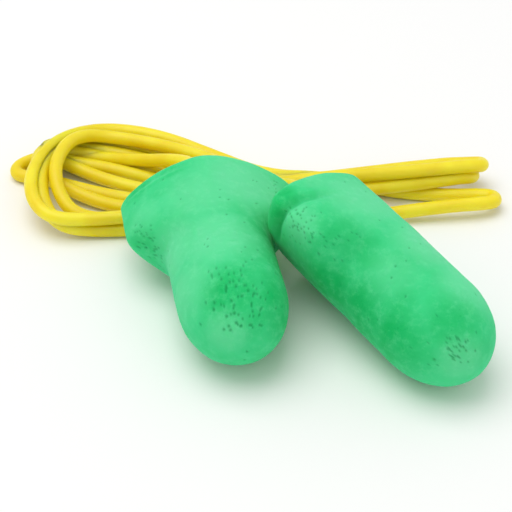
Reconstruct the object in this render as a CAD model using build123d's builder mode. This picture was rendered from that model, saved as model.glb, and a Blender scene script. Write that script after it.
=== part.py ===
from build123d import *

import os
from math import acos, cos, pi, radians, sin, tan

# A pair of T-shaped foam ear plugs on one loose cord, put down on a table with the cord wound
# into a loose hank behind them.  Millimetres, +Z up, the table is Z = 0, and the origin is under
# the middle of the two plugs.  The noses point towards -Y and the hank lies towards +Y.

# ---- foam plug -------------------------------------------------------------------------------
PLUG_LENGTH = 26.0        # nose tip to the flat round the cord
NOSE_RADIUS = 5.4         # the round body that goes into the ear
NOSE_CAP = 6.8            # length of the rounded tip
BODY_LENGTH = 4.2         # length of the true cylinder behind the tip
NECK_RADIUS = 5.45        # radius where the flare starts
FLARE_LENGTH = 4.2        # from the neck to the full T grip
GRIP_LENGTH = 5.3         # full T grip, up to the rim
GRIP_HALF_WIDTH = 8.9     # half the width of the T grip
GRIP_HALF_DEPTH = 5.5     # half its thickness
GRIP_POWER = 1.55         # 2 is an ellipse, 1 a diamond
DOME_HEIGHT = 2.2         # how far the end face bulges behind the rim
ROUND = 0.5523            # handle length that makes a Bezier curve a quarter of an ellipse
EXIT_FLAT = 0.30          # size of the flat round the cord, as a share of the grip
# The slightly fuller neck between the cylinder and the flare takes up the rest of the length.
NECK_LENGTH = PLUG_LENGTH - NOSE_CAP - BODY_LENGTH - FLARE_LENGTH - GRIP_LENGTH - DOME_HEIGHT

# ---- cord and its glued ends -----------------------------------------------------------------
CORD_RADIUS = 0.75
BORE_DEPTH = 9.0          # blind hole in the foam for the cord
GLUE_FILM = 0.05          # gap between the cord and the wall of its hole
GLUE_DEPTH = 1.2          # set glue below the end of the cord
FLEX_GAP = 0.25           # room between a plug and the cord that bends behind it

# ---- where the plugs lie ---------------------------------------------------------------------
TABLE_GAP = 0.05          # room under the tipped plug
LEFT_EXIT = (-10.1, 13.7, max(NOSE_RADIUS, NECK_RADIUS, GRIP_HALF_DEPTH))    # it lies flat
LEFT_HEADING = 100.9      # compass of nose-to-grip, anticlockwise from +X
LEFT_RISE = 0.0           # how far the grip end is tipped up
LEFT_ROLL = 0.0           # turn of the T about the plug's own axis
RIGHT_RISE = 7.0
RIGHT_HEIGHT = (TABLE_GAP + NOSE_RADIUS * cos(radians(RIGHT_RISE))
                + (PLUG_LENGTH - NOSE_CAP) * sin(radians(RIGHT_RISE)))       # it lies on its nose
RIGHT_EXIT = (1.3, 7.5, RIGHT_HEIGHT)
RIGHT_HEADING = 125.9
RIGHT_ROLL = 41.5

# ---- hank ------------------------------------------------------------------------------------
HANK_HEIGHT = 4.6
HANK_EDGE = 1.1           # rounding of its upper edge
HANK_OUTLINE = [
    (-31.9, 21.8), (-28.4, 14.3), (-21.5, 11.5), (-15.5, 13.4), (-9.5, 14.9), (-2.0, 14.7),
    (6.0, 13.3), (14.0, 13.0), (21.0, 14.2), (23.2, 17.0), (22.2, 23.6), (18.5, 25.6),
    (8.0, 24.0), (-2.5, 23.6), (-9.5, 26.4), (-15.5, 30.2), (-22.0, 31.0), (-28.8, 27.6),
]

# ---- the two leads between the plugs and the hank --------------------------------------------
LEFT_LEAD = [(-10.9, 18.3, 5.3), (-13.2, 21.0, 4.0), (-16.8, 23.4, 2.2)]
RIGHT_LEAD = [(0.7, 10.6, 7.6), (1.2, 12.7, 6.2), (0.4, 14.8, 4.8), (-0.7, 16.3, 3.8)]
BEND_SHARE = 0.45         # how much of the shorter run a bend takes up


def placed(exit_point, heading, rise, roll):
    """Plane of a plug: origin where the cord leaves it, Z from nose to grip, X along the T."""
    axis = Vector(cos(radians(heading)), sin(radians(heading)), 0) * cos(radians(rise))
    axis = axis + Vector(0, 0, sin(radians(rise)))
    across = Vector(sin(radians(heading)), -cos(radians(heading)), 0)
    across = across.rotate(Axis((0, 0, 0), axis), roll)
    return Plane(origin=exit_point, x_dir=across, z_dir=axis)


def smooth(share):
    """Goes from 0 to 1 with a level start and a level end."""
    return share * share * (3 - 2 * share)


def powered(value, power):
    """A signed power, for the quarters of a superellipse."""
    return abs(value) ** power * (1 if value > 0 else -1)


def round_section(height, radius):
    """The plug's round cross-section, in quarters like the lens-shaped ones."""
    with BuildSketch(Plane.XY.offset(height)) as section:
        with BuildLine():
            for quarter in range(4):
                CenterArc((0, 0), radius, start_angle=90 * quarter, arc_size=90)
        make_face()
    return section.sketch


def grip_section(height, half_width, half_depth, power):
    """One lens-shaped cross-section of the plug, on the way to the T grip."""
    steps = 8
    with BuildSketch(Plane.XY.offset(height)) as section:
        with BuildLine():
            for quarter in range(4):
                angles = [pi / 2 * (quarter + step / steps) for step in range(steps + 1)]
                Spline(*[(half_width * powered(cos(a), 2 / power),
                          half_depth * powered(sin(a), 2 / power)) for a in angles])
        make_face()
    return section.sketch


def bends(points):
    """Radius of the bend at each inner point of a route, and a printed note of it."""
    radii = []
    for before, here, after in zip(points, points[1:], points[2:]):
        run_in = Vector(*here) - Vector(*before)
        run_out = Vector(*after) - Vector(*here)
        turn = run_in.get_angle(run_out)
        radii.append(BEND_SHARE * min(run_in.length, run_out.length) / tan(radians(turn / 2)))
        print(f"  run {run_in.length:.2f}, turn {turn:.1f} degrees, radius {radii[-1]:.2f}")
    print(f"  last run {run_out.length:.2f}")
    return radii


def save(solid, name):
    """Labels a finished piece and writes it."""
    solid.label = name
    export_step(solid, f"parts/{name}.step")


os.makedirs("parts", exist_ok=True)

# The plug is drawn with the cord's exit at the origin and the nose towards -Z.
cap_end = NOSE_CAP - PLUG_LENGTH
body_end = cap_end + BODY_LENGTH
flare_start = body_end + NECK_LENGTH
flare_end = flare_start + FLARE_LENGTH
rim = flare_end + GRIP_LENGTH

with BuildPart() as plug_foam:
    # Nose: a rounded tip, a true cylinder and the neck behind it.
    with BuildSketch(Plane.XZ) as nose_profile:
        with BuildLine():
            Bezier((0, -PLUG_LENGTH), (NOSE_RADIUS * ROUND, -PLUG_LENGTH),
                   (NOSE_RADIUS, cap_end - NOSE_CAP * ROUND), (NOSE_RADIUS, cap_end))
            Polyline((NOSE_RADIUS, cap_end), (NOSE_RADIUS, body_end), (NECK_RADIUS, flare_start),
                     (0, flare_start), (0, -PLUG_LENGTH))
        make_face()
    revolve(axis=Axis.Z)
    # Flare: the circle widens into the lens-shaped T grip.
    flare_steps = 4
    sections = [round_section(flare_start, NECK_RADIUS)]
    for step in range(1, flare_steps + 1):
        grown = smooth(step / flare_steps)
        sections.append(grip_section(
            flare_start + FLARE_LENGTH * step / flare_steps,
            NECK_RADIUS + (GRIP_HALF_WIDTH - NECK_RADIUS) * grown,
            NECK_RADIUS + (GRIP_HALF_DEPTH - NECK_RADIUS) * grown,
            2 + (GRIP_POWER - 2) * grown,
        ))
    loft(sections=sections)
    # Grip: the lens runs on to the rim.
    extrude(grip_section(flare_end, GRIP_HALF_WIDTH, GRIP_HALF_DEPTH, GRIP_POWER),
            amount=rim - flare_end)
    # Dome: the end face, down to the flat round the cord.
    last_angle = acos(EXIT_FLAT)
    dome_steps = 4
    dome = []
    for step in range(dome_steps + 1):
        angle = last_angle * step / dome_steps
        dome.append(grip_section(
            rim + DOME_HEIGHT * sin(angle) / sin(last_angle),
            GRIP_HALF_WIDTH * cos(angle), GRIP_HALF_DEPTH * cos(angle), GRIP_POWER,
        ))
    loft(sections=dome)
    # Blind hole for the cord.
    with Locations((0, 0, -BORE_DEPTH / 2)):
        Cylinder(CORD_RADIUS + GLUE_FILM, BORE_DEPTH, mode=Mode.SUBTRACT)

with BuildPart() as cord_end:
    # The glued length of cord, flush with the end face.
    with BuildSketch(Plane.XY.offset(GLUE_DEPTH - BORE_DEPTH)):
        Circle(CORD_RADIUS)
    extrude(amount=BORE_DEPTH - GLUE_DEPTH)

with BuildPart() as glue_drop:
    # Set glue in the bottom of the hole.
    with BuildSketch(Plane.XY.offset(-BORE_DEPTH)):
        Circle(CORD_RADIUS + GLUE_FILM)
    extrude(amount=GLUE_DEPTH)

places = {
    "left": placed(LEFT_EXIT, LEFT_HEADING, LEFT_RISE, LEFT_ROLL),
    "right": placed(RIGHT_EXIT, RIGHT_HEADING, RIGHT_RISE, RIGHT_ROLL),
}
pivots = {}
for side, place in places.items():
    save(plug_foam.part.moved(place.location), f"{side}_plug_foam")
    save(cord_end.part.moved(place.location), f"{side}_cord_end")
    save(glue_drop.part.moved(place.location), f"{side}_glue_drop")
    pivots[side] = place.from_local_coords(Vector(0, 0, CORD_RADIUS + FLEX_GAP))
    print(side, "pivot", tuple(pivots[side]), "axis", tuple(place.z_dir), "T", tuple(place.x_dir))

with BuildPart() as cord_hank:
    # Outer shape of the wound cord, lying on the table.
    with BuildSketch():
        with BuildLine():
            Spline(*HANK_OUTLINE, periodic=True)
        make_face()
    extrude(amount=HANK_HEIGHT)
    fillet(cord_hank.faces().sort_by(Axis.Z)[-1].edges(), HANK_EDGE)
save(cord_hank.part, "cord_hank")

for side, lead in (("left", LEFT_LEAD), ("right", RIGHT_LEAD)):
    # The lead starts in a rounded end behind its plug and runs down into the hank.
    start = tuple(pivots[side])
    points = [start, *lead]
    print(side, "lead")
    with BuildPart() as cord_lead:
        with BuildLine() as route:
            FilletPolyline(*points, radius=bends(points))
        with BuildSketch(Plane(origin=route.wire() @ 0, z_dir=route.wire() % 0)):
            Circle(CORD_RADIUS)
        sweep(path=route.wire())
        tube_volume = cord_lead.part.volume
        with Locations(start):
            Sphere(CORD_RADIUS)
    length = route.wire().length
    print(f"  length {length:.2f}, tube volume {tube_volume:.3f},",
          f"section times length {pi * CORD_RADIUS ** 2 * length:.3f}")
    save(cord_lead.part, f"{side}_lead")
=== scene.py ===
"""Corded foam ear plugs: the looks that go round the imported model."""

import random
from math import acos, atan2, cos, radians, sin

import bmesh
import bpy
import numpy as np
from bpy.props import FloatProperty, FloatVectorProperty, IntProperty, PointerProperty
from bpy.types import Operator, Panel, PropertyGroup
from mathutils import Matrix, Quaternion, Vector, kdtree, noise


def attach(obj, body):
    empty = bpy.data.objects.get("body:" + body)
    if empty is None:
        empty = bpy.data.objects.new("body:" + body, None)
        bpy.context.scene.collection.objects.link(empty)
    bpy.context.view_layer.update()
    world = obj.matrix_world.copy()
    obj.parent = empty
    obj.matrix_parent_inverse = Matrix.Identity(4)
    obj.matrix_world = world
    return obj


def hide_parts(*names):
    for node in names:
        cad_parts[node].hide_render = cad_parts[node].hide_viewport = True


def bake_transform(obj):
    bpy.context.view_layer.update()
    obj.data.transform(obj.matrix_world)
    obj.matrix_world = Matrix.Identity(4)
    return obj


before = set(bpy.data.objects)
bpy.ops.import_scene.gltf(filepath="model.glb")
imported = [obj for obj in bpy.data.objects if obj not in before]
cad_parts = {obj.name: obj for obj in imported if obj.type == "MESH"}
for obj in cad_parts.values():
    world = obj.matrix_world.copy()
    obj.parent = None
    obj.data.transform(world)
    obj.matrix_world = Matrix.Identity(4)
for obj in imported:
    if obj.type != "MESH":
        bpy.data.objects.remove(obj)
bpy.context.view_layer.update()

bl_info = {
    "name": "Corded foam ear plugs",
    "version": (1, 0, 0),
    "blender": (4, 5, 0),
    "location": "View3D > Sidebar > Ear plugs",
    "description": "Two T-shaped foam ear plugs joined by a loose soft cord",
    "category": "Add Mesh",
}

MM = 0.001


def linear(code):
    """A colour from its sRGB hex code, as the linear values that shaders take."""
    channels = [int(code[place:place + 2], 16) / 255 for place in (1, 3, 5)]
    return [c / 12.92 if c <= 0.04045 else ((c + 0.055) / 1.055) ** 2.4 for c in channels]


# ---- settings --------------------------------------------------------------------------------


def length_setting(name, description, default):
    """A size in metres that the sidebar shows."""
    return FloatProperty(
        name=name, description=description, default=default, min=0.0,
        unit="LENGTH", subtype="DISTANCE", precision=5,
    )


def colour_setting(name, description, code):
    """A colour that the sidebar shows."""
    return FloatVectorProperty(
        name=name, description=description, default=linear(code), min=0.0, max=1.0,
        size=3, subtype="COLOR",
    )


class PlugSettings(PropertyGroup):
    """Sizes and colours of the foam plugs."""

    length: length_setting("Length", "Nose tip to the flat round the cord", 26 * MM)
    nose_radius: length_setting("Nose radius", "Radius of the round body", 5.4 * MM)
    nose_cap: length_setting("Nose cap", "Length of the rounded tip", 6.8 * MM)
    flare_start: length_setting("Flare start", "Distance from the tip to the flare", 14.3 * MM)
    flare_length: length_setting("Flare length", "From the round body to the full grip", 4.2 * MM)
    grip_half_width: length_setting("Grip half width", "Half the width of the T grip", 8.9 * MM)
    grip_half_depth: length_setting("Grip half depth", "Half the thickness of the T grip", 5.5 * MM)
    grip_power: FloatProperty(
        name="Grip roundness", description="2 gives an ellipse, 1 a diamond", default=1.55,
        min=1.0, max=3.0,
    )
    dome_height: length_setting("Dome height", "How far the end face bulges past its rim", 2.2 * MM)
    exit_flat: FloatProperty(
        name="Exit flat", description="Size of the flat round the cord, as a share of the grip",
        default=0.3, min=0.1, max=0.9, subtype="FACTOR",
    )
    skin: colour_setting("Skin", "Colour of the smooth skin of the foam", "#40D288")
    # Deep skin is also painted shade: it darkens the flanks that face away from the light.
    skin_deep_and_shaded: colour_setting("Deep skin", "Colour where the skin is thin and the cells show", "#10B862")
    # Painted light: this pale colour stands for light on the lit upper faces, and also tints the pale
    # flecks.
    skin_pale_and_painted_light: colour_setting("Pale skin", "Colour of the chalky bloom on the skin", "#6EDDA2")
    # Painted shade: this dark colour stands for the shade inside the open cells.
    pit_shade: colour_setting("Pit", "Colour inside the open cells", "#0A8A46")


class CordSettings(PropertyGroup):
    """Sizes and colours of the cord."""

    diameter: length_setting("Diameter", "Thickness of the cord", 1.5 * MM)
    left_lead: length_setting("Left lead", "Cord at the left plug that is a piece of its own", 54 * MM)
    right_lead: length_setting("Right lead", "Cord at the right plug that is a piece of its own", 68 * MM)
    bore_depth: length_setting("Bore depth", "Depth of the blind hole in the foam", 9 * MM)
    glue_film: length_setting("Glue film", "Gap between the cord and its hole", 0.05 * MM)
    sides: IntProperty(name="Sides", description="Faces round the cord", default=20, min=8, max=48)
    plastic: colour_setting("Plastic", "Colour of the soft plastic", "#F1E02A")
    plastic_deep: colour_setting("Deep plastic", "Colour of its denser stretches", "#EAD212")
    glue: colour_setting("Glue", "Colour of the set glue", "#DADCC8")


class StageSettings(PropertyGroup):
    """Floor, light and camera."""

    floor_size: length_setting("Floor size", "Side of the square floor", 4.0)
    floor: colour_setting("Floor", "Colour of the plain floor", "#F7F7F6")
    sky: FloatProperty(
        name="Sky strength", description="Even light from all round", default=0.66, min=0.0,
    )
    key_power: FloatProperty(
        name="Key power", description="Power of the large softbox overhead", default=0.95,
        min=0.0, subtype="POWER", unit="POWER",
    )
    fill_power: FloatProperty(
        name="Fill power", description="Power of the softbox in front", default=0.10,
        min=0.0, subtype="POWER", unit="POWER",
    )
    lens: FloatProperty(
        name="Lens", description="Focal length of the camera in millimetres", default=105.47, min=10.0,
    )


# ---- shaders ---------------------------------------------------------------------------------


def add_node(tree, kind, values=None, links=None, **properties):
    """Adds a node with its properties, socket values and incoming links."""
    made = tree.nodes.new(kind)
    for name, value in properties.items():
        setattr(made, name, value)
    for socket, value in (values or {}).items():
        made.inputs[socket].default_value = value
    for socket, output in (links or {}).items():
        tree.links.new(output, made.inputs[socket])
    return made


def new_material(name):
    """An empty node material, and its tree."""
    material = bpy.data.materials.new(name)
    material.use_nodes = True
    material.node_tree.nodes.clear()
    return material, material.node_tree


def opaque(colour):
    """A colour with its alpha, as sockets take it."""
    return (*colour, 1.0)


def foam_material(settings):
    """Slow-recovery polyurethane foam, moulded, with a smooth skin.

    To the eye: matte and soft, with hardly any highlight, a cloudy mix of pale and deep green
    2 to 5 mm across, a grain of closed cells about 0.3 mm wide, and dark open cells in groups.
    Painted light makes the lit upper faces paler, and painted shade makes the shaded flanks deep
    green and darkens the open cells.
    """
    material, tree = new_material("moulded_pu_foam")
    place = add_node(tree, "ShaderNodeTexCoord").outputs["Object"]
    # Marks on each vertex: deep green zones that are partly real thin skin and partly painted shade, pale
    # zones of painted light, and painted shade in the open cells.
    stain_and_shade = add_node(tree, "ShaderNodeAttribute", attribute_name="stain_and_shade").outputs["Fac"]
    painted_light = add_node(tree, "ShaderNodeAttribute", attribute_name="painted_light").outputs["Fac"]
    pit_shade = add_node(tree, "ShaderNodeAttribute", attribute_name="pit_shade").outputs["Fac"]
    clouds = add_node(
        tree, "ShaderNodeTexNoise",
        {"Scale": 1 / (4.5 * MM), "Detail": 4.0, "Roughness": 0.6}, {"Vector": place},
    ).outputs["Fac"]
    flecks = add_node(
        tree, "ShaderNodeTexNoise",
        {"Scale": 1 / (1.1 * MM), "Detail": 5.0, "Roughness": 0.75}, {"Vector": place},
    ).outputs["Fac"]
    cells = add_node(
        tree, "ShaderNodeTexVoronoi", {"Scale": 1 / (0.42 * MM), "Randomness": 1.0},
        {"Vector": place},
    ).outputs["Distance"]
    grain = add_node(
        tree, "ShaderNodeTexNoise",
        {"Scale": 1 / (0.22 * MM), "Detail": 2.0, "Roughness": 0.6}, {"Vector": place},
    ).outputs["Fac"]

    # Deep green where the stain lies, partly real thin skin and partly painted shade on the shaded
    # flanks, and where both noises are low.
    cloud_share = add_node(
        tree, "ShaderNodeMapRange", {"From Min": 0.56, "From Max": 0.36, "To Min": 0.0, "To Max": 0.30},
        {"Value": clouds},
    ).outputs["Result"]
    fleck_share = add_node(
        tree, "ShaderNodeMapRange", {"From Min": 0.30, "From Max": 0.68, "To Min": 1.15, "To Max": 0.70},
        {"Value": flecks},
    ).outputs["Result"]
    stained_and_shaded = add_node(
        tree, "ShaderNodeMath", links={0: stain_and_shade, 1: fleck_share}, operation="MULTIPLY",
    ).outputs["Value"]
    deep_share = add_node(
        tree, "ShaderNodeMath", links={0: stained_and_shaded, 1: cloud_share}, operation="ADD", use_clamp=True,
    ).outputs["Value"]
    base = add_node(
        tree, "ShaderNodeMix", {6: opaque(settings.skin), 7: opaque(settings.skin_deep_and_shaded)},
        {0: deep_share}, data_type="RGBA",
    ).outputs[2]
    fleck_pale = add_node(
        tree, "ShaderNodeMapRange", {"From Min": 0.50, "From Max": 0.80, "To Min": 0.0, "To Max": 0.4},
        {"Value": flecks},
    ).outputs["Result"]
    # Painted light: paler skin on the faces that the light falls on, in the zones listed for each plug.
    painted_light_share = add_node(
        tree, "ShaderNodeMath", {1: 0.75}, {0: painted_light}, operation="MULTIPLY",
    ).outputs["Value"]
    fleck_and_painted_light_share = add_node(
        tree, "ShaderNodeMath", links={0: fleck_pale, 1: painted_light_share}, operation="ADD", use_clamp=True,
    ).outputs["Value"]
    flecked_and_lit = add_node(
        tree, "ShaderNodeMix", {7: opaque(settings.skin_pale_and_painted_light)}, {0: fleck_and_painted_light_share, 6: base},
        data_type="RGBA",
    ).outputs[2]
    # Fine open cells show as specks of painted shade, most of them in the stained and shaded zones.
    speck_size = add_node(
        tree, "ShaderNodeMapRange", {"From Min": 0.0, "From Max": 1.0, "To Min": 0.02, "To Max": 0.24},
        {"Value": stained_and_shaded},
    ).outputs["Result"]
    shaded_speck = add_node(
        tree, "ShaderNodeMath", links={0: cells, 1: speck_size}, operation="LESS_THAN",
    ).outputs["Value"]
    speck_shade_share = add_node(
        tree, "ShaderNodeMath", {1: 0.22}, {0: shaded_speck}, operation="MULTIPLY",
    ).outputs["Value"]
    # Painted shade: the open cells, in wells and in specks, take the dark pit colour.
    pit_shade_share = add_node(
        tree, "ShaderNodeMath", links={0: pit_shade, 1: speck_shade_share}, operation="MAXIMUM",
    ).outputs["Value"]
    colour = add_node(
        tree, "ShaderNodeMix", {7: opaque(settings.pit_shade)}, {0: pit_shade_share, 6: flecked_and_lit},
        data_type="RGBA",
    ).outputs[2]

    fine_bump = add_node(
        tree, "ShaderNodeBump", {"Strength": 0.35, "Distance": 0.05 * MM}, {"Height": grain},
    ).outputs["Normal"]
    cell_bump = add_node(
        tree, "ShaderNodeBump", {"Strength": 0.5, "Distance": 0.08 * MM},
        {"Height": flecks, "Normal": fine_bump},
    ).outputs["Normal"]
    shader = add_node(
        tree, "ShaderNodeBsdfPrincipled",
        {
            "Roughness": 0.85, "IOR": 1.45, "Specular IOR Level": 0.15,
            "Subsurface Weight": 0.6, "Subsurface Scale": 1.2 * MM,
            "Subsurface Radius": (0.3, 1.0, 0.5), "Sheen Weight": 0.05, "Sheen Roughness": 0.5,
        },
        {"Base Color": colour, "Normal": cell_bump},
    )
    add_node(tree, "ShaderNodeOutputMaterial", links={"Surface": shader.outputs["BSDF"]})
    return material


def cord_material(settings):
    """Soft PVC, extruded to a round cord.

    To the eye: smooth and softly glossy, a little translucent so that shadows stay warm, with
    denser stretches a few millimetres long and the faint draw lines of the die.
    """
    material, tree = new_material("extruded_soft_pvc")
    place = add_node(tree, "ShaderNodeTexCoord").outputs["Object"]
    stretches = add_node(
        tree, "ShaderNodeTexNoise",
        {"Scale": 1 / (5 * MM), "Detail": 3.0, "Roughness": 0.5}, {"Vector": place},
    ).outputs["Fac"]
    share = add_node(
        tree, "ShaderNodeMapRange", {"From Min": 0.38, "From Max": 0.62}, {"Value": stretches},
    ).outputs["Result"]
    colour = add_node(
        tree, "ShaderNodeMix",
        {6: opaque(settings.plastic), 7: opaque(settings.plastic_deep)}, {0: share},
        data_type="RGBA",
    ).outputs[2]
    ripple = add_node(
        tree, "ShaderNodeTexNoise",
        {"Scale": 1 / (0.8 * MM), "Detail": 2.0, "Roughness": 0.5}, {"Vector": place},
    ).outputs["Fac"]
    gloss = add_node(
        tree, "ShaderNodeMapRange", {"From Min": 0.3, "From Max": 0.7, "To Min": 0.36, "To Max": 0.50},
        {"Value": ripple},
    ).outputs["Result"]
    bump = add_node(
        tree, "ShaderNodeBump", {"Strength": 0.25, "Distance": 0.04 * MM}, {"Height": ripple},
    ).outputs["Normal"]
    shader = add_node(
        tree, "ShaderNodeBsdfPrincipled",
        {
            "IOR": 1.53, "Specular IOR Level": 0.40, "Subsurface Weight": 1.0,
            "Subsurface Scale": 1.2 * MM, "Subsurface Radius": (1.0, 0.9, 0.10),
        },
        {"Base Color": colour, "Roughness": gloss, "Normal": bump},
    )
    add_node(tree, "ShaderNodeOutputMaterial", links={"Surface": shader.outputs["BSDF"]})
    return material


def glue_material(settings):
    """Hot-melt glue, set in a drop.

    To the eye: milky, half clear and waxy, with a soft highlight and a few clouds.
    """
    material, tree = new_material("set_hot_melt_glue")
    place = add_node(tree, "ShaderNodeTexCoord").outputs["Object"]
    clouds = add_node(
        tree, "ShaderNodeTexNoise", {"Scale": 1 / (0.6 * MM), "Detail": 2.0}, {"Vector": place},
    ).outputs["Fac"]
    haze = add_node(
        tree, "ShaderNodeMapRange", {"To Min": 0.25, "To Max": 0.45}, {"Value": clouds},
    ).outputs["Result"]
    shader = add_node(
        tree, "ShaderNodeBsdfPrincipled",
        {
            "Base Color": opaque(settings.glue), "IOR": 1.48, "Subsurface Weight": 0.6,
            "Subsurface Scale": 0.5 * MM,
        },
        {"Roughness": haze},
    )
    add_node(tree, "ShaderNodeOutputMaterial", links={"Surface": shader.outputs["BSDF"]})
    return material


def floor_material(settings):
    """Matte paper backdrop: even, pale and without a highlight, with a barely seen tooth."""
    material, tree = new_material("matte_backdrop_paper")
    place = add_node(tree, "ShaderNodeTexCoord").outputs["Object"]
    tooth = add_node(
        tree, "ShaderNodeTexNoise", {"Scale": 1 / (0.5 * MM), "Detail": 2.0}, {"Vector": place},
    ).outputs["Fac"]
    bump = add_node(
        tree, "ShaderNodeBump", {"Strength": 0.03, "Distance": 0.02 * MM}, {"Height": tooth},
    ).outputs["Normal"]
    shader = add_node(
        tree, "ShaderNodeBsdfPrincipled",
        {"Base Color": opaque(settings.floor), "Roughness": 0.95, "Specular IOR Level": 0.1},
        {"Normal": bump},
    )
    add_node(tree, "ShaderNodeOutputMaterial", links={"Surface": shader.outputs["BSDF"]})
    return material


# ---- meshes ----------------------------------------------------------------------------------


def new_object(name, mesh, material):
    """A finished piece at the origin, smooth shaded, in its material."""
    mesh.materials.clear()
    mesh.materials.append(material)
    made = bpy.data.objects.new(name, mesh)
    bpy.context.scene.collection.objects.link(made)
    return made


def mesh_from(bm, name):
    """Turns a finished bmesh into a mesh."""
    mesh = bpy.data.meshes.new(name)
    bm.to_mesh(mesh)
    bm.free()
    return mesh


def ring_edges(made):
    """The new edges and corners that an edge extrusion gives."""
    edges = [part for part in made["geom"] if isinstance(part, bmesh.types.BMEdge)]
    corners = [part for part in made["geom"] if isinstance(part, bmesh.types.BMVert)]
    return edges, corners


# ---- cord ------------------------------------------------------------------------------------

# Control points of the cord in millimetres.  The two leads are listed point by point.
CORD_START = (-10.1, 13.7, 5.5)
LEFT_LEAD = [
    (-10.3, 14.7, 5.5), (-10.9, 18.3, 5.3), (-13.2, 21.0, 4.0), (-16.8, 23.4, 2.2),
    (-21.5, 25.7, 0.9),
]
RIGHT_LEAD = [
    (-6.8, 16.8, 3.2), (-3.6, 17.2, 3.7), (-0.7, 16.3, 3.9), (0.4, 14.8, 4.8), (1.2, 12.7, 6.2),
    (0.7, 10.6, 7.6), (0.6, 8.5, 7.9), (1.3, 7.5, 7.75),
]

# Each turn of the hank runs left behind the plugs (far), round its left end, back to the right
# in front (near, then out), round its right fold and back to the middle (back).  A pair is the
# strand's Y and its height, where the turn passes the stations below.  An end holds the station
# where it begins, Y on its far and near side, its tip, its lean and its height.
LEFT_STATIONS = (-9, -15, -21)
RIGHT_STATIONS = (-3, 4, 11, 17)
TURNS = [
    {
        "far": [],
        "end": (-26, 26.9, 22.2, -31.7, -1.2, 0.8),
        "near": [(18.3, 0.8), (17.3, 0.8), (18.7, 0.8)],
        "out": [(17.3, 0.8)],
        "fold": 5.4,
        "back": [(19.4, 0.8)],
    },
    {
        "far": [(20.0, 0.8), (22.9, 0.8), (25.7, 0.8)],
        "end": (-24.2, 26.6, 24.2, -26.8, -0.3, 1.8),
        "near": [(18.5, 0.8), (21.4, 0.8), (23.9, 0.8)],
        "out": [(18.2, 0.8)],
        "fold": 3.0,
        "back": [(20.2, 2.2)],
    },
    {
        "far": [(21.9, 0.8), (25.1, 0.8), (27.1, 0.8)],
        "end": (-25.6, 27.6, 24.2, -28.3, -0.4, 2.3),
        "near": [(19.9, 0.8), (19.1, 0.8), (21.4, 0.8)],
        "out": [(16.6, 2.2), (17.3, 2.2), (18.3, 2.3), (19.6, 2.3)],
        "fold": 19.9,
        "back": [(22.9, 0.8), (21.6, 0.8), (18.9, 2.2), (17.8, 2.2)],
    },
    {
        "far": [(22.0, 2.3), (26.1, 1.6), (28.4, 0.9)],
        "end": (-24.6, 28.3, 19.8, -29.1, -0.8, 2.3),
        "near": [(16.8, 0.8), (15.8, 0.8), (16.9, 0.8)],
        "out": [(15.6, 0.8), (15.4, 0.8)],
        "fold": 7.8,
        "back": [(20.6, 0.8), (20.6, 0.8)],
    },
    {
        "far": [(23.6, 0.8), (27.9, 0.8), (30.6, 0.8)],
        "end": (-21, 30.4, 12.0, -27.8, -2.2, 3.2),
        "near": [(14.1, 0.8), (12.8, 0.8), (12.3, 0.8)],
        "out": [(14.0, 0.8), (13.8, 0.8), (15.0, 1.2), (15.6, 1.7)],
        "fold": 21.9,
        "back": [(18.7, 0.8), (19.3, 0.8), (22.1, 0.8), (22.3, 0.8)],
    },
    {
        "far": [(24.1, 2.3), (28.1, 2.3), (29.7, 2.3)],
        "end": (-21, 29.6, 12.2, -28.8, -3.0, 3.7),
        "near": [(14.9, 2.3), (13.3, 2.3), (12.4, 2.3)],
        "out": [(17.0, 3.6), (18.2, 3.7), (18.9, 3.7), (19.9, 3.7)],
        "fold": 20.8,
        "back": [(22.6, 2.3), (21.5, 2.3), (20.2, 2.2), (18.9, 2.2)],
    },
    {
        "far": [(21.6, 3.6), (25.8, 2.7), (28.0, 2.3)],
        "end": (-21, 28.0, 14.1, -26.3, -1.2, 4.0),
        "near": [(16.0, 2.5), (14.6, 1.6), (14.1, 0.8)],
        "out": [],
        "fold": None,
        "back": [],
    },
]
TABLE_HEIGHT = 0.8        # height of a strand's line that lies on the table
# Angles round an end, and the share of the end's height that the strand has there.
WIDE_END = [(25, 0.6), (50, 1), (75, 1), (100, 0.95), (125, 0.6), (150, 0.25)]
SLIM_END = [(20, 0.6), (65, 1), (115, 1), (160, 0.6)]
WIDE_FROM = 12            # an end at least this wide has the points of a wide one
END_FULLNESS = 0.8        # 1 is an ellipse, less is squarer
END_STRETCH = 1.02        # the spline cuts its corners, so the points go this much further out
LEAST_FOLD = 1.2          # smallest half width of a right fold, in mm
FOLD_CORNER = 0.95        # where a fold's first and last points lie, as a share of its half width
FOLD_TIP = 0.5            # and the two points at its tip
FOLD_REACH = 0.15         # how far those two go past the named tip, in mm
LONG_FOLD_SHIFT = 0.3     # the long folds lie this much further back, in mm
SPLINE_STEPS = 9          # points of the line for each control point


def end_points(turn):
    """Points round the left end of a turn, from its far side to its near side."""
    root, far, near, tip, lean, height = turn["end"]
    far_height = turn["far"][-1][1] if turn["far"] else TABLE_HEIGHT
    near_height = turn["near"][-1][1]
    points = []
    for degree, share in WIDE_END if far - near > WIDE_FROM else SLIM_END:
        angle = radians(degree)
        low = far_height if degree < 90 else near_height
        points.append((
            root + (tip - root) * sin(angle) ** END_FULLNESS * END_STRETCH,
            (far + near) / 2 + (far - near) / 2 * cos(angle) + lean * sin(angle),
            low + (height - low) * share,
        ))
    return points


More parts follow.
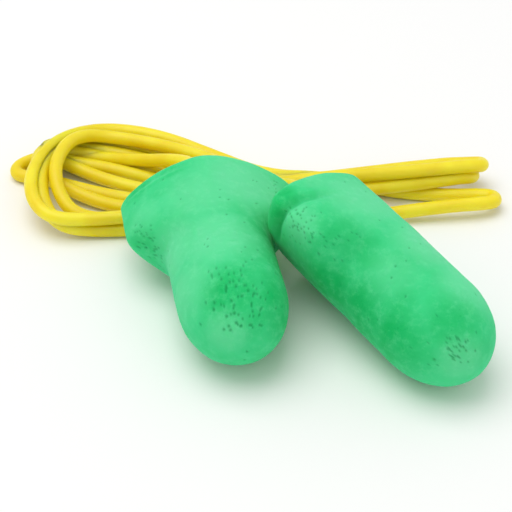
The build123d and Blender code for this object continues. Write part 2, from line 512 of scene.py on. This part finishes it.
def fold_points(turn):
    """Points round the right fold of a turn, from its near side to its far side."""
    near_y, near_z = turn["out"][-1]
    far_y, far_z = turn["back"][0]
    middle = (near_y + far_y) / 2
    half = max((far_y - near_y) / 2, LEAST_FOLD)
    shift = LONG_FOLD_SHIFT if len(turn["out"]) > 2 else 0
    tip = turn["fold"]
    return [
        (tip - half * FOLD_CORNER, middle - half * FOLD_CORNER + shift, near_z),
        (tip + FOLD_REACH, middle - half * FOLD_TIP + shift, near_z * 0.7 + far_z * 0.3),
        (tip + FOLD_REACH, middle + half * FOLD_TIP + shift, near_z * 0.3 + far_z * 0.7),
        (tip - half * FOLD_CORNER, middle + half * FOLD_CORNER + shift * 0.6, far_z),
    ]


def cord_points():
    """Control points of the whole cord in metres, from the left plug to the right one."""
    points = [CORD_START, *LEFT_LEAD]
    for turn in TURNS:
        points += [(x, y, z) for x, (y, z) in zip(LEFT_STATIONS, turn["far"])]
        points += end_points(turn)
        points += [(x, y, z) for x, (y, z) in zip(LEFT_STATIONS, turn["near"])][::-1]
        points += [(x, y, z) for x, (y, z) in zip(RIGHT_STATIONS, turn["out"])]
        if turn["fold"]:
            points += fold_points(turn)
            stations = RIGHT_STATIONS[:len(turn["back"])][::-1]
            points += [(x, y, z) for x, (y, z) in zip(stations, turn["back"])]
    return [Vector(point) * MM for point in points + RIGHT_LEAD]


def cord_line(points):
    """The cord's smooth line: points read from a NURBS spline through its control points."""
    curve = bpy.data.curves.new("cord_line", "CURVE")
    curve.dimensions = "3D"
    curve.resolution_u = SPLINE_STEPS
    spline = curve.splines.new("NURBS")
    spline.points.add(len(points) - 1)
    for target, point in zip(spline.points, points):
        target.co = (*point, 1)
    spline.order_u = 3
    spline.use_endpoint_u = True
    holder = bpy.data.objects.new("cord_line", curve)
    bpy.context.scene.collection.objects.link(holder)
    seen = holder.evaluated_get(bpy.context.evaluated_depsgraph_get())
    mesh = bpy.data.meshes.new_from_object(seen)
    line = [vert.co.copy() for vert in mesh.vertices]
    bpy.data.meshes.remove(mesh)
    bpy.data.objects.remove(holder)
    bpy.data.curves.remove(curve)
    return line


def cord_stations(line):
    """A plane across the cord at each point of its line, without twist."""
    heading = (line[1] - line[0]).normalized()
    turned = Vector((0, 0, 1)).rotation_difference(heading)
    stations = []
    for index, point in enumerate(line):
        ahead = line[min(index + 1, len(line) - 1)] - line[max(index - 1, 0)]
        ahead.normalize()
        turned = heading.rotation_difference(ahead) @ turned
        heading = ahead
        stations.append(Matrix.Translation(point) @ turned.to_matrix().to_4x4())
    return stations


def cord_tube(stations, radius, sides):
    """A closed tube: one ring extruded from station to station, with its ends filled."""
    bm = bmesh.new()
    bmesh.ops.create_circle(bm, segments=sides, radius=radius, matrix=stations[0])
    first = bm.edges[:]
    edges = first
    for before, after in zip(stations, stations[1:]):
        edges, corners = ring_edges(bmesh.ops.extrude_edge_only(bm, edges=edges))
        bmesh.ops.transform(bm, matrix=after @ before.inverted(), verts=corners)
    ends = first + edges
    for face in bm.faces:
        face.smooth = True
    bmesh.ops.holes_fill(bm, edges=ends, sides=0)
    for edge in ends:
        edge.smooth = False
    bmesh.ops.recalc_face_normals(bm, faces=bm.faces)
    return bm


# ---- plugs -----------------------------------------------------------------------------------

# Where each plug lies, as in the CAD: exit of the cord, heading and rise of its axis from nose
# to grip, and roll of its T.
PLACES = {
    "left": {"exit": (-10.1, 13.7, 5.5), "heading": 100.9, "rise": 0.0, "roll": 0.0},
    "right": {"exit": (1.3, 7.5, 7.75), "heading": 125.9, "rise": 7.0, "roll": 41.5},
}

# A place on a plug is (distance from the nose tip in mm, angle round the axis in degrees), with
# 0 at one ear of the T and 180 at the other.
# Groups of open cells: place, spread in mm, how many, smallest and largest radius in mm.
PORES = {
    "left": [
        ((4.4, 240), 1.6, 14, 0.08, 0.14), ((3.1, 272), 1.5, 19, 0.09, 0.18),
        ((1.5, 285), 0.8, 11, 0.09, 0.15), ((1.0, 250), 0.7, 11, 0.09, 0.17),
        ((2.8, 297), 0.8, 5, 0.08, 0.12), ((6.5, 265), 2.0, 13, 0.07, 0.12),
        ((17.6, 206), 0.6, 8, 0.07, 0.12), ((16.1, 187), 1.0, 35, 0.07, 0.13),
        ((3.0, 60), 2.5, 22, 0.08, 0.15), ((21.0, 330), 1.2, 14, 0.07, 0.12),
        ((25.0, 120), 1.8, 16, 0.07, 0.13),
    ],
    "right": [
        ((20.3, 174), 0.9, 42, 0.06, 0.11), ((18.7, 174), 0.8, 16, 0.06, 0.10),
        ((1.4, 197), 0.7, 26, 0.07, 0.11), ((2.6, 190), 1.4, 13, 0.06, 0.09),
        ((16.0, 195), 1.4, 11, 0.06, 0.09), ((4.0, 20), 2.5, 22, 0.08, 0.14),
        ((20.5, 10), 1.2, 22, 0.07, 0.13), ((25.0, 300), 1.8, 16, 0.07, 0.12),
    ],
}
STRAY_PORES = 45          # single open cells anywhere on a plug
# Zones of deep green, partly where the skin is thin and the cells show, and partly painted shade on
# the flanks that face away from the light or lie by the other plug: place, radius in mm, strength.
STAINS_AND_SHADE = {
    "left": [
        ((3.6, 262), 3.4, 0.66), ((1.6, 285), 2.4, 0.39), ((7.0, 292), 2.4, 0.27),
        # Painted shade: the four zones at 335 to 345 degrees darken the right flank, which lies by the
        # right plug.
        ((17.2, 200), 1.8, 0.35), ((4.0, 335), 4.0, 0.70), ((8.5, 338), 4.0, 0.74),
        ((13.0, 340), 4.0, 0.74), ((16.5, 345), 3.2, 0.55), ((20.0, 40), 4.0, 0.31),
        ((3.0, 60), 4.0, 0.39), ((23.6, 215), 1.6, 0.47), ((23.6, 240), 1.6, 0.39),
    ],
    "right": [
        ((3.2, 216), 2.8, 0.62), ((1.6, 200), 1.8, 0.47), ((17.0, 200), 2.4, 0.43),
        # Painted shade: the three zones at 138 to 145 degrees darken the lower left flank, which faces
        # away from the light.
        ((14.6, 190), 2.4, 0.35), ((7.5, 165), 2.8, 0.51), ((6.5, 145), 4.0, 0.74),
        ((11.0, 142), 4.2, 0.78), ((15.5, 138), 4.0, 0.78), ((23.6, 190), 1.8, 0.58),
        ((23.6, 165), 1.8, 0.55), ((20.0, 40), 4.0, 0.31),
    ],
}
# Zones of painted light, paler skin on the faces that the light falls on: place, radius in mm, strength.
PAINTED_LIGHTS = {
    "left": [
        ((20.0, 300), 5.5, 0.9), ((18.0, 260), 4.5, 0.7), ((11.0, 262), 4.5, 0.8),
        ((13.0, 215), 4.0, 0.7), ((6.5, 215), 3.5, 0.6), ((0.8, 225), 2.2, 0.7),
        ((18.5, 215), 2.5, 0.4),
    ],
    "right": [
        ((20.0, 245), 4.5, 0.8), ((12.0, 262), 4.0, 0.9), ((6.0, 262), 3.5, 0.8),
        ((20.0, 176), 2.2, 0.7), ((11.0, 205), 3.0, 0.4), ((0.8, 180), 2.4, 0.7),
        ((23.5, 225), 2.0, 0.5),
    ],
}
RING_SIDES = 96
BODY_RINGS = 26
FINE_LEVELS = 2
NOSE_DEGREES = (5, 10, 17, 25, 33, 42, 51, 60, 70, 80)      # rings on the rounded tip
DOME_SHARES = (0.12, 0.25, 0.4, 0.55, 0.7, 0.85, 1.0)       # rings on the domed end face
# Rings from the flat in to the hole: radius in hole radii, share of a circle (the rest is the
# shape of the flat), and height in mm.  The last ring is the bottom of the hole.
HOLE_RINGS = (
    (2.2, 0.4, 0.0), (1.35, 1.0, 0.0), (1.04, 1.0, -0.02), (1.0, 1.0, -0.12), (1.0, 1.0, -0.6),
    (1.0, 1.0, -5.0),
)
HOLE_MOUTH = 1.5 * MM     # the hole and its mouth, within this of the axis, stay smooth
HOLE_END = 10 * MM        # and this far down from the exit the plug has no hole
LUMPS = ((7, 0.16), (2.2, 0.045), (0.7, 0.014))             # size and height in mm
STRAY_SIZES = (0.07, 0.14)                                  # radius of a stray cell in mm
WELL_SPREAD = 1.5         # how far a cell's slope reaches, in its radii
WELL_DEPTH = 0.9          # how deep it is, in its radii
PIT_SHADE_STRENGTH = 0.55       # how dark the painted shade at its bottom gets
# The groove on the right plug: angle round the axis, and distance from the nose tip in mm.
GROOVE_ANGLES = (130, 143, 160, 175, 190, 204, 216, 240)
GROOVE_REACHES = (23.1, 22.9, 22.4, 22.1, 22.0, 21.9, 21.4, 20.8)


def smooth(share):
    """Goes from 0 to 1 with a level start and a level end."""
    share = np.clip(share, 0, 1)
    return share * share * (3 - 2 * share)


def bell(distance, width):
    """1 at no distance, falling softly to nothing past the width."""
    return np.exp(-((distance / width) ** 2))


def section(settings, reach):
    """Half width, half depth and roundness of the plug, so far from the nose tip."""
    reach = np.asarray(reach, float)
    rim = settings.length - settings.dome_height
    tip = np.clip(1 - reach / settings.nose_cap, 0, 1)
    cap = np.sqrt(1 - tip**2)
    along = smooth((reach - settings.nose_cap) / (rim - settings.nose_cap))
    depth = settings.nose_radius * cap + (settings.grip_half_depth - settings.nose_radius) * along
    flare = smooth((reach - settings.flare_start) / settings.flare_length)
    width = depth + (settings.grip_half_width - settings.grip_half_depth) * flare
    last = acos(settings.exit_flat)
    dome = np.clip((reach - rim) / settings.dome_height, 0, 1) * sin(last)
    shrink = np.sqrt(1 - dome**2)
    power = 2 + (settings.grip_power - 2) * flare
    return width * shrink, depth * shrink, power


def on_plug(settings, reach, angle):
    """Point on the plug's surface, with the cord's exit at the origin and the nose towards -Z."""
    width, depth, power = section(settings, reach)
    across = np.sign(np.cos(angle)) * np.abs(np.cos(angle)) ** (2 / power) * width
    through = np.sign(np.sin(angle)) * np.abs(np.sin(angle)) ** (2 / power) * depth
    return np.stack([across, through, reach - settings.length + 0 * angle], axis=-1)


def plug_place(place):
    """Matrix of a plug: origin where the cord leaves it, Z from nose to grip, X along the T."""
    heading, rise, roll = (radians(place[key]) for key in ("heading", "rise", "roll"))
    axis = Vector((cos(heading) * cos(rise), sin(heading) * cos(rise), sin(rise)))
    across = Vector((sin(heading), -cos(heading), 0))
    across.rotate(Quaternion(axis, roll))
    turned = Matrix((across, axis.cross(across), axis)).transposed()
    return Matrix.Translation(Vector(place["exit"]) * MM) @ turned.to_4x4()


def plug_cage(settings, cord):
    """Coarse closed form of a plug: a ring at the nose, extruded to the exit and down its bore."""
    rim = settings.length - settings.dome_height
    last = acos(settings.exit_flat)
    reaches = [settings.nose_cap * (1 - cos(radians(degree))) for degree in NOSE_DEGREES]
    straight = np.linspace(settings.nose_cap, rim, BODY_RINGS + 1)
    reaches += [float(reach) for reach in straight]
    reaches += [
        rim + settings.dome_height * sin(last * share) / sin(last) for share in DOME_SHARES
    ]
    bm = bmesh.new()
    bmesh.ops.create_circle(bm, segments=RING_SIDES, radius=1)
    turn = bm.verts.layers.float.new("turn")
    for corner in bm.verts:
        corner[turn] = atan2(corner.co.y, corner.co.x)
    nose = bm.edges[:]
    edges, corners = nose, bm.verts[:]
    for step, reach in enumerate(reaches):
        if step:
            edges, corners = ring_edges(bmesh.ops.extrude_edge_only(bm, edges=edges))
        points = on_plug(settings, reach, np.array([corner[turn] for corner in corners]))
        for corner, point in zip(corners, points):
            corner.co = point
    # Round the lens-shaped flat in to the hole, and go down the hole.
    hole = cord.diameter / 2 + cord.glue_film
    for radius, roundness, height in (*HOLE_RINGS, (1.0, 1.0, -cord.bore_depth / MM)):
        edges, corners = ring_edges(bmesh.ops.extrude_edge_only(bm, edges=edges))
        for corner in corners:
            angle = corner[turn]
            flat = Vector(on_plug(settings, settings.length, np.array([angle]))[0])
            ring = Vector((cos(angle), sin(angle), 0)) * hole * radius
            corner.co = Vector((*flat.xy.lerp(ring.xy, roundness), height * MM))
    bmesh.ops.holes_fill(bm, edges=nose + edges, sides=0)
    for face in bm.faces:
        face.smooth = True
    bmesh.ops.recalc_face_normals(bm, faces=bm.faces)
    return bm


def subdivided(name, bm, levels):
    """The mesh of a bmesh after a subdivision surface of so many levels."""
    holder = bpy.data.objects.new(name, mesh_from(bm, name))
    bpy.context.scene.collection.objects.link(holder)
    finer = holder.modifiers.new("finer", "SUBSURF")
    finer.levels = levels
    finer.render_levels = levels
    seen = holder.evaluated_get(bpy.context.evaluated_depsgraph_get())
    mesh = bpy.data.meshes.new_from_object(seen)
    coarse = holder.data
    bpy.data.objects.remove(holder)
    bpy.data.meshes.remove(coarse)
    return mesh


def read_vectors(collection, key):
    """Vectors of all elements of a mesh, as rows."""
    values = np.empty(len(collection) * 3, np.float32)
    collection.foreach_get(key, values)
    return values.reshape(-1, 3).astype(float)


def lumps(points, size, seed):
    """Smooth noise from -1 to 1 at each point, with features of that size."""
    shift = Vector((seed * 3.1, seed * 1.7, seed * 2.3))
    return np.array([noise.noise(Vector(point) + shift) for point in points / size])


def surface_angle(settings, points):
    """Distance from the nose tip and angle round the axis, at points on a plug's surface."""
    reach = np.clip(points[:, 2] + settings.length, 0, settings.length)
    width, depth, power = section(settings, reach)
    across = points[:, 0] / np.maximum(width, 1e-6)
    through = points[:, 1] / np.maximum(depth, 1e-6)
    along_x = np.sign(across) * np.abs(across) ** (power / 2)
    along_y = np.sign(through) * np.abs(through) ** (power / 2)
    return reach, np.degrees(np.arctan2(along_y, along_x)) % 360


def left_creases(reach, angle, points):
    """Left plug: a fine raised seam along the rim, and hair-thin folds across the body."""
    seam = bell(reach / MM - 22.85, 0.22) * smooth((angle - 190) / 12) * smooth((262 - angle) / 18)
    band = bell(reach / MM - 23.6, 0.5) * smooth((angle - 185) / 20) * smooth((262 - angle) / 30)
    stretched = np.stack([points[:, 0] * 0.28, points[:, 1] * 0.28, points[:, 2]], axis=-1)
    folds = -np.clip(lumps(stretched, 0.42 * MM, 11) - 0.28, 0, 1)
    where = bell(reach / MM - 9.0, 5.0) * bell((angle - 277) / 10, 2.8)
    round_angle = (angle + 180) % 360 - 180
    ear = bell(round_angle, 22) * bell(reach / MM - 23.4, 1.8)
    return (seam * 0.10 - band * 0.12 + folds * where * 0.16 + ear * 0.45) * MM


def right_creases(reach, angle, points):
    """Right plug: the groove that folds the near ear off from its rim, and the full lobe by it."""
    middle = np.interp(angle, GROOVE_ANGLES, GROOVE_REACHES)
    reach = reach / MM
    fade = smooth((angle - 128) / 14) * smooth((240 - angle) / 44)
    groove = bell(reach - middle, 0.50) * fade
    lip = bell(reach - middle - 1.1, 0.7) * fade
    lobe = bell(reach - middle + 1.5, 1.2) * smooth((angle - 140) / 20) * smooth((225 - angle) / 30)
    return (-groove * 0.62 + lip * 0.16 + lobe * 0.20) * MM


CREASES = {"left": left_creases, "right": right_creases}


def foam_surface(mesh, settings, side):
    """Moves the fine mesh of a plug: lumps, creases and open cells, with the marks for its colour, partly
    painted light and shade.
    """
    draw = random.Random(f"{side} foam")
    points = read_vectors(mesh.vertices, "co")
    normals = read_vectors(mesh.vertices, "normal")
    reach, angle = surface_angle(settings, points)
    outside = np.hypot(points[:, 0], points[:, 1]) > HOLE_MOUTH
    outside |= points[:, 2] < -HOLE_END
    lift = np.zeros(len(points))
    for seed, (size, height) in enumerate(LUMPS, 1 + len(side)):
        lift += lumps(points, size * MM, seed) * height * MM
    lift += CREASES[side](reach, angle, points)

    tree = kdtree.KDTree(len(points))
    for index, point in enumerate(points):
        tree.insert(point, index)
    tree.balance()

    def spot(place):
        return Vector(on_plug(settings, place[0] * MM, np.radians(np.array([place[1]])))[0])

    wells = []
    for place, spread, count, smallest, largest in PORES[side]:
        middle = spot(place)
        for _ in range(count):
            aside = Vector([draw.gauss(0, spread * MM) for _ in range(3)])
            wells.append((middle + aside, draw.uniform(smallest, largest) * MM))
    for _ in range(STRAY_PORES):
        place = (draw.uniform(1, settings.length / MM - 1), draw.uniform(0, 360))
        wells.append((spot(place), draw.uniform(*STRAY_SIZES) * MM))
    # Painted shade: each well's colour darkens towards its bottom, where shade falls.
    pit_shade = np.zeros(len(points))
    for middle, radius in wells:
        foot = tree.find(middle)[0]
        for _, index, distance in tree.find_range(foot, radius * WELL_SPREAD):
            share = max(0.0, 1 - (distance / (radius * WELL_SPREAD)) ** 2) ** 2
            pit_shade[index] = max(pit_shade[index], share * PIT_SHADE_STRENGTH)
            lift[index] -= share * radius * WELL_DEPTH

    def zones(spots):
        share = np.zeros(len(points))
        for place, radius, strength in spots:
            away = np.linalg.norm(points - np.array(spot(place)), axis=1) / MM
            share = np.maximum(share, strength * smooth(1.25 - away / radius * 0.9))
        return share

    # Deep green zones: partly real thin skin, partly painted shade on the shaded flanks.
    stain_and_shade = zones(STAINS_AND_SHADE[side])
    # Painted light: the pale zones stand for light falling on the upper faces.
    painted_light = zones(PAINTED_LIGHTS[side])

    points += normals * (lift * outside)[:, None]
    mesh.vertices.foreach_set("co", points.astype(np.float32).ravel())
    for name, values in (("pit_shade", pit_shade * outside), ("stain_and_shade", stain_and_shade * outside), ("painted_light", painted_light)):
        marks = mesh.attributes.new(name, "FLOAT", "POINT")
        marks.data.foreach_set("value", values.astype(np.float32))
    mesh.update()


# ---- operators -------------------------------------------------------------------------------


CAMERA_PLACE = (-0.00425, -0.11506, 0.100084)
CAMERA_TILT = 51.1        # degrees up from looking straight down


class EARPLUGS_OT_stage(Operator):
    """Lay the pale floor, hang the soft lights and set the camera"""

    bl_idname = "earplugs.stage"
    bl_label = "Stage"

    def execute(self, context):
        settings = context.scene.earplug_stage
        scene = context.scene
        scene.view_settings.view_transform = "Standard"

        lens = bpy.data.cameras.new("camera")
        lens.sensor_width = 36
        lens.lens = settings.lens
        lens.clip_start = 0.01
        camera = bpy.data.objects.new("camera", lens)
        camera.location = CAMERA_PLACE
        camera.rotation_euler = (radians(CAMERA_TILT), 0, 0)
        scene.collection.objects.link(camera)
        scene.camera = camera

        bm = bmesh.new()
        bmesh.ops.create_grid(bm, x_segments=4, y_segments=4, size=settings.floor_size / 2)
        floor = new_object("floor", mesh_from(bm, "floor"), floor_material(settings))

        world = bpy.data.worlds.new("studio")
        world.use_nodes = True
        scene.world = world
        sky = world.node_tree.nodes["Background"]
        sky.inputs["Color"].default_value = (1, 1, 1, 1)
        sky.inputs["Strength"].default_value = settings.sky

        # Name, place, size, power: a softbox overhead and a weaker one in front.
        for name, place, size, power in (
            ("key", (-0.10, 0.02, 0.42), 0.36, settings.key_power),
            ("fill", (0.25, -0.30, 0.22), 0.25, settings.fill_power),
        ):
            light = bpy.data.lights.new(name, "AREA")
            light.size = size
            light.energy = power
            lamp = bpy.data.objects.new(name, light)
            lamp.location = place
            lamp.rotation_euler = (-Vector(place)).to_track_quat("-Z", "Y").to_euler()
            scene.collection.objects.link(lamp)
        return {"FINISHED"}


class EARPLUGS_OT_cord(Operator):
    """Wind the cord into its hank and lead its two ends to the plugs"""

    bl_idname = "earplugs.cord"
    bl_label = "Cord"

    def execute(self, context):
        settings = context.scene.earplug_cord
        material = cord_material(settings)
        line = cord_line(cord_points())
        stations = cord_stations(line)
        run = [0.0]
        for before, after in zip(line, line[1:]):
            run.append(run[-1] + (after - before).length)
        first = next(index for index, length in enumerate(run) if length > settings.left_lead)
        right_start = run[-1] - settings.right_lead
        last = next(index for index, length in enumerate(run) if length > right_start)
        radius = settings.diameter / 2
        end_station = len(line) - 1
        # Name, first and last station, replaced node, how it lies, and where it starts to bend.
        # The cuts lie out of sight behind the plugs, further along than the CAD's leads end.
        for name, start, end, node, lay, body, bend_start in (
            ("left_lead_cord", 0, first, "left_lead", "loose", "left_plug", LEFT_LEAD[1]),
            ("hank_cord", first, last, "cord_hank", "coiled", None, None),
            ("right_lead_cord", last, end_station, "right_lead", "loose", "right_plug", RIGHT_LEAD[4]),
        ):
            tube = cord_tube(stations[start:end + 1], radius, settings.sides)
            piece = new_object(name, mesh_from(tube, name), material)
            if body:
                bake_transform(piece)
            else:
                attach(piece, "cord")
            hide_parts(node)
            path = line[start:end + 1]
            if name.startswith("right"):
                path = path[::-1]
        for side in PLACES:
            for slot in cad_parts[f"{side}_cord_end"].material_slots:
                slot.material = material
        return {"FINISHED"}


class EARPLUGS_OT_plugs(Operator):
    """Mould the two foam plugs with their creases, open cells and cord holes"""

    bl_idname = "earplugs.plugs"
    bl_label = "Foam plugs"

    def execute(self, context):
        settings = context.scene.earplug_foam
        cord = context.scene.earplug_cord
        material = foam_material(settings)
        for side, place in PLACES.items():
            mesh = subdivided(f"{side}_foam_plug", plug_cage(settings, cord), FINE_LEVELS)
            foam_surface(mesh, settings, side)
            mesh.transform(plug_place(place))
            piece = new_object(f"{side}_foam_plug", mesh, material)
            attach(piece, f"{side}_plug")
            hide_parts(f"{side}_plug_foam")
        return {"FINISHED"}


class EARPLUGS_OT_glue(Operator):
    """Give the two set drops of glue their finish"""

    bl_idname = "earplugs.glue"
    bl_label = "Glue drops"

    def execute(self, context):
        material = glue_material(context.scene.earplug_cord)
        for side in PLACES:
            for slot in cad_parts[f"{side}_glue_drop"].material_slots:
                slot.material = material
        return {"FINISHED"}


class EARPLUGS_PT_panel(Panel):
    """Lists the pieces and their settings"""

    bl_idname = "EARPLUGS_PT_panel"
    bl_label = "Corded ear plugs"
    bl_space_type = "VIEW_3D"
    bl_region_type = "UI"
    bl_category = "Ear plugs"

    def draw(self, context):
        layout = self.layout
        for group, operator in (
            ("earplug_stage", EARPLUGS_OT_stage), ("earplug_cord", EARPLUGS_OT_cord),
            ("earplug_foam", EARPLUGS_OT_plugs), ("earplug_cord", EARPLUGS_OT_glue),
        ):
            box = layout.box()
            box.operator(operator.bl_idname)
            settings = getattr(context.scene, group)
            for name in type(settings).__annotations__:
                box.prop(settings, name)


CLASSES = (
    PlugSettings, CordSettings, StageSettings, EARPLUGS_OT_stage, EARPLUGS_OT_cord,
    EARPLUGS_OT_plugs, EARPLUGS_OT_glue, EARPLUGS_PT_panel,
)


def register():
    for each in CLASSES:
        bpy.utils.register_class(each)
    bpy.types.Scene.earplug_foam = PointerProperty(type=PlugSettings)
    bpy.types.Scene.earplug_cord = PointerProperty(type=CordSettings)
    bpy.types.Scene.earplug_stage = PointerProperty(type=StageSettings)


def unregister():
    del bpy.types.Scene.earplug_stage
    del bpy.types.Scene.earplug_cord
    del bpy.types.Scene.earplug_foam
    for each in reversed(CLASSES):
        bpy.utils.unregister_class(each)


def main():
    """Builds the scene."""
    register()
    bpy.ops.earplugs.stage()
    bpy.ops.earplugs.cord()
    bpy.ops.earplugs.plugs()
    bpy.ops.earplugs.glue()


if __name__ == "__main__":
    main()
